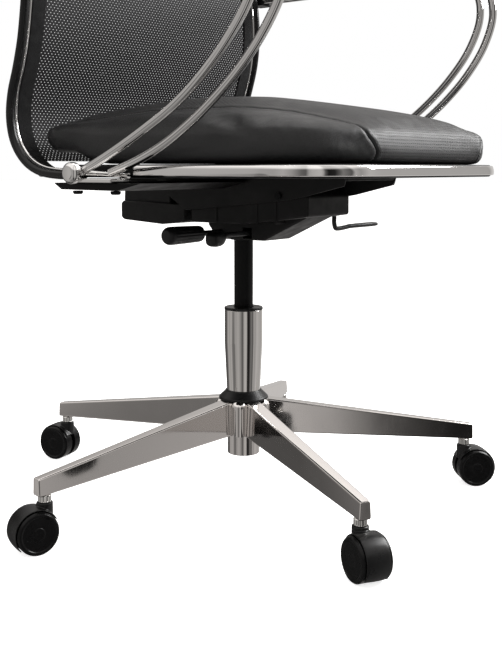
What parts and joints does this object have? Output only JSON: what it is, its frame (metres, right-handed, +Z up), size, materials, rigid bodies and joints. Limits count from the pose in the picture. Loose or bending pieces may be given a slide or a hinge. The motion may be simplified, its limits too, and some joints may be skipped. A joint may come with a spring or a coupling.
{
  "type": "swivel office chair",
  "caption": "Swivel office chair with a polished five-star base on twin-wheel casters, gas lift, padded seat, chrome loop arms and a tall mesh back.",
  "frame": {"origin": "on the floor under the middle of the chair's footprint", "axes": "+Z up, -Y the way the sitter faces, -X the sitter's right; the column axis stands at x 13.5 mm, y -20 mm"},
  "size_m": [0.7381, 0.7307, 1.1233],
  "materials": {
    "polished_base": "mirror-polished",
    "polished_column": "polished",
    "chrome_trim": "polished",
    "chrome_arm": "polished",
    "chrome_stem": "polished",
    "black_plastic": "fine matt texture",
    "pan_black": "fine matt texture",
    "caster_black": "satin",
    "wheel_black": "satin",
    "lever_black": "satin",
    "arm_pad": "soft-touch polyurethane",
    "mechanism_black": "matt powder coat",
    "black_steel": "satin paint",
    "frame_black": "satin paint",
    "bright_steel": "ground",
    "seat_leather": "fine grain with stitched seams",
    "back_mesh": "open knitted mesh"
  },
  "bodies": {
    "base": {"star_base": "polished_base", "hub_collar": "black_plastic", "column_tube": "polished_column", "column_top_bush": "black_plastic"},
    "caster_1_fork": {"caster_1_stem": "chrome_stem", "caster_1_hood": "caster_black"},
    "caster_1_roller_left": {"caster_1_wheel_left": "wheel_black"},
    "caster_1_roller_right": {"caster_1_wheel_right": "wheel_black"},
    "caster_2_fork": {"caster_2_stem": "chrome_stem", "caster_2_hood": "caster_black"},
    "caster_2_roller_left": {"caster_2_wheel_left": "wheel_black"},
    "caster_2_roller_right": {"caster_2_wheel_right": "wheel_black"},
    "caster_3_fork": {"caster_3_stem": "chrome_stem", "caster_3_hood": "caster_black"},
    "caster_3_roller_left": {"caster_3_wheel_left": "wheel_black"},
    "caster_3_roller_right": {"caster_3_wheel_right": "wheel_black"},
    "caster_4_fork": {"caster_4_stem": "chrome_stem", "caster_4_hood": "caster_black"},
    "caster_4_roller_left": {"caster_4_wheel_left": "wheel_black"},
    "caster_4_roller_right": {"caster_4_wheel_right": "wheel_black"},
    "caster_5_fork": {"caster_5_stem": "chrome_stem", "caster_5_hood": "caster_black"},
    "caster_5_roller_left": {"caster_5_wheel_left": "wheel_black"},
    "caster_5_roller_right": {"caster_5_wheel_right": "wheel_black"},
    "lift": {"lift_rod": "bright_steel", "thrust_bearing": "bright_steel"},
    "chassis": {"gas_cylinder": "black_steel", "mechanism_housing": "mechanism_black", "tilt_axle": "bright_steel"},
    "valve": {"valve_pin": "bright_steel"},
    "height_control": {"height_lever": "lever_black"},
    "tension_control": {"tension_handle": "lever_black"},
    "lock_control": {"tilt_lock_lever": "lever_black"},
    "recliner": {"seat_plate": "mechanism_black", "back_carrier": "mechanism_black", "seat_pan": "pan_black", "seat_cushion": "seat_leather", "seat_trim": "chrome_trim", "back_frame": "frame_black", "back_trim": "chrome_trim", "back_mesh": "back_mesh", "arm_bracket_left": "chrome_trim", "arm_plate_left": "black_steel", "arm_tube_outer_left": "chrome_arm", "arm_tube_inner_left": "chrome_arm", "arm_pad_left": "arm_pad", "arm_clamp_left": "black_steel", "arm_bolt_front_left": "black_steel", "arm_bolt_rear_left": "black_steel", "arm_bracket_right": "chrome_trim", "arm_plate_right": "black_steel", "arm_tube_outer_right": "chrome_arm", "arm_tube_inner_right": "chrome_arm", "arm_pad_right": "arm_pad", "arm_clamp_right": "black_steel", "arm_bolt_front_right": "black_steel", "arm_bolt_rear_right": "black_steel"}
  },
  "joints": [
    {"name": "caster_1_swivel", "type": "hinge", "parent": "base", "child": "caster_1_fork", "pos_m": [-0.32025, 0.04487, 0.055], "axis": [0, 0, 1], "continuous": true},
    {"name": "caster_1_roll_left", "type": "hinge", "parent": "caster_1_fork", "child": "caster_1_roller_left", "pos_m": [-0.33482, 0.05018, 0.0275], "axis": [-0.342, -0.9397, 0], "continuous": true},
    {"name": "caster_1_roll_right", "type": "hinge", "parent": "caster_1_fork", "child": "caster_1_roller_right", "pos_m": [-0.33482, 0.05018, 0.0275], "axis": [-0.342, -0.9397, 0], "continuous": true},
    {"name": "caster_2_swivel", "type": "hinge", "parent": "base", "child": "caster_2_fork", "pos_m": [-0.15133, -0.31737, 0.055], "axis": [0, 0, 1], "continuous": true},
    {"name": "caster_2_roll_left", "type": "hinge", "parent": "caster_2_fork", "child": "caster_2_roller_left", "pos_m": [-0.15909, -0.33079, 0.0275], "axis": [0.866, -0.5, 0], "continuous": true},
    {"name": "caster_2_roll_right", "type": "hinge", "parent": "caster_2_fork", "child": "caster_2_roller_right", "pos_m": [-0.15909, -0.33079, 0.0275], "axis": [0.866, -0.5, 0], "continuous": true},
    {"name": "caster_3_swivel", "type": "hinge", "parent": "base", "child": "caster_3_fork", "pos_m": [0.24538, -0.26866, 0.055], "axis": [0, 0, 1], "continuous": true},
    {"name": "caster_3_roll_left", "type": "hinge", "parent": "caster_3_fork", "child": "caster_3_roller_left", "pos_m": [0.25595, -0.28, 0.0275], "axis": [0.7314, 0.682, 0], "continuous": true},
    {"name": "caster_3_roll_right", "type": "hinge", "parent": "caster_3_fork", "child": "caster_3_roller_right", "pos_m": [0.25595, -0.28, 0.0275], "axis": [0.7314, 0.682, 0], "continuous": true},
    {"name": "caster_4_swivel", "type": "hinge", "parent": "base", "child": "caster_4_fork", "pos_m": [0.32165, 0.12369, 0.055], "axis": [0, 0, 1], "continuous": true},
    {"name": "caster_4_roll_left", "type": "hinge", "parent": "caster_4_fork", "child": "caster_4_roller_left", "pos_m": [0.33479, 0.1319, 0.0275], "axis": [-0.5299, 0.848, 0], "continuous": true},
    {"name": "caster_4_roll_right", "type": "hinge", "parent": "caster_4_fork", "child": "caster_4_roller_right", "pos_m": [0.33479, 0.1319, 0.0275], "axis": [-0.5299, 0.848, 0], "continuous": true},
    {"name": "caster_5_swivel", "type": "hinge", "parent": "base", "child": "caster_5_fork", "pos_m": [-0.02794, 0.31747, 0.055], "axis": [0, 0, 1], "continuous": true},
    {"name": "caster_5_roll_left", "type": "hinge", "parent": "caster_5_fork", "child": "caster_5_roller_left", "pos_m": [-0.03089, 0.33268, 0.0275], "axis": [-0.9816, -0.1908, 0], "continuous": true},
    {"name": "caster_5_roll_right", "type": "hinge", "parent": "caster_5_fork", "child": "caster_5_roller_right", "pos_m": [-0.03089, 0.33268, 0.0275], "axis": [-0.9816, -0.1908, 0], "continuous": true},
    {"name": "seat_swivel", "type": "hinge", "parent": "base", "child": "lift", "pos_m": [0.0135, -0.02, 0.155], "axis": [0, 0, 1], "continuous": true},
    {"name": "seat_height", "type": "slide", "parent": "lift", "child": "chassis", "axis": [0, 0, 1], "range_m": [-0.09, 0.02]},
    {"name": "height_lever_lift", "type": "hinge", "parent": "chassis", "child": "height_control", "pos_m": [-0.0085, -0.052, 0.391], "axis": [0, 1, 0], "range_deg": [0, 7], "stiffness_Nm_per_rad": 1.2},
    {"name": "valve_press", "type": "slide", "parent": "chassis", "child": "valve", "axis": [0, 0, -1], "range_m": [0, 0.003]},
    {"name": "tension_turn", "type": "hinge", "parent": "chassis", "child": "tension_control", "pos_m": [-0.0665, -0.003, 0.391], "axis": [-1, 0, 0], "range_deg": [-360, 360]},
    {"name": "tilt_lock_turn", "type": "hinge", "parent": "chassis", "child": "lock_control", "pos_m": [0.0735, -0.125, 0.428], "axis": [1, 0, 0], "range_deg": [0, 25]},
    {"name": "recline", "type": "hinge", "parent": "chassis", "child": "recliner", "pos_m": [0.0135, -0.13, 0.446], "axis": [-1, 0, 0], "range_deg": [0, 12]}
  ],
  "couplings": [
    {"joint": "valve_press", "follows": "height_lever_lift", "m_per_rad": 0.02374}
  ]
}
